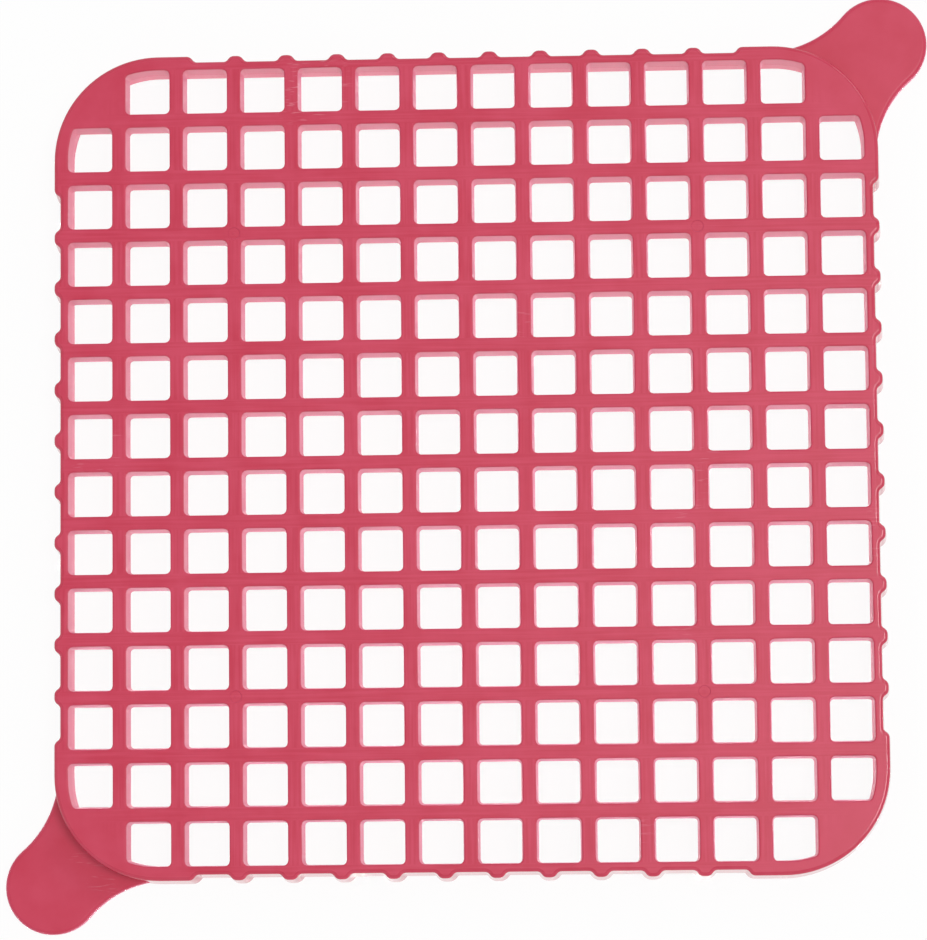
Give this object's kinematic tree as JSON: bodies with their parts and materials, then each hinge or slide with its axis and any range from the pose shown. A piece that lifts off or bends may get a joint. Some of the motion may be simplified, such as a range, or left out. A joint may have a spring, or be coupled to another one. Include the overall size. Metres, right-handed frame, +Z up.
{
  "type": "chopper cleaning grid",
  "caption": "Flexible square grid with a taller lugged rim and two pull tabs; it sits round the fingers of a hand chopper's pusher and peels off to clear out residue.",
  "frame": {"origin": "centre of the underside, on the plane that the rim and the pull tabs rest on", "axes": "+Z up out of the grid's face, +X along the crosswise bars, +Y along the lengthwise bars; the pull tabs are on the +X+Y and -X-Y corners"},
  "size_m": [0.102, 0.102, 0.0051],
  "materials": {
    "moulding": "satin, soft flexible plastic, raspberry red"
  },
  "bodies": {
    "root": {"back_left_corner_plate": "moulding", "back_left_rim_corner": "moulding", "back_lugs": "moulding", "back_rail": "moulding", "back_right_corner_plate": "moulding", "back_right_pull_tab": "moulding", "back_right_rim_corner": "moulding", "crosswise_bar_01": "moulding", "crosswise_bar_02": "moulding", "crosswise_bar_03": "moulding", "crosswise_bar_04": "moulding", "crosswise_bar_05": "moulding", "crosswise_bar_06": "moulding", "crosswise_bar_07": "moulding", "crosswise_bar_08": "moulding", "crosswise_bar_09": "moulding", "crosswise_bar_10": "moulding", "crosswise_bar_11": "moulding", "crosswise_bar_12": "moulding", "crosswise_bar_13": "moulding", "front_left_corner_plate": "moulding", "front_left_pull_tab": "moulding", "front_left_rim_corner": "moulding", "front_lugs": "moulding", "front_rail": "moulding", "front_right_corner_plate": "moulding", "front_right_rim_corner": "moulding", "left_lugs": "moulding", "left_rail": "moulding", "lengthwise_bar_01": "moulding", "lengthwise_bar_02": "moulding", "lengthwise_bar_03": "moulding", "lengthwise_bar_04": "moulding", "lengthwise_bar_05": "moulding", "lengthwise_bar_06": "moulding", "lengthwise_bar_07": "moulding", "lengthwise_bar_08": "moulding", "lengthwise_bar_09": "moulding", "lengthwise_bar_10": "moulding", "lengthwise_bar_11": "moulding", "lengthwise_bar_12": "moulding", "lengthwise_bar_13": "moulding", "right_lugs": "moulding", "right_rail": "moulding"}
  },
  "joints": []
}
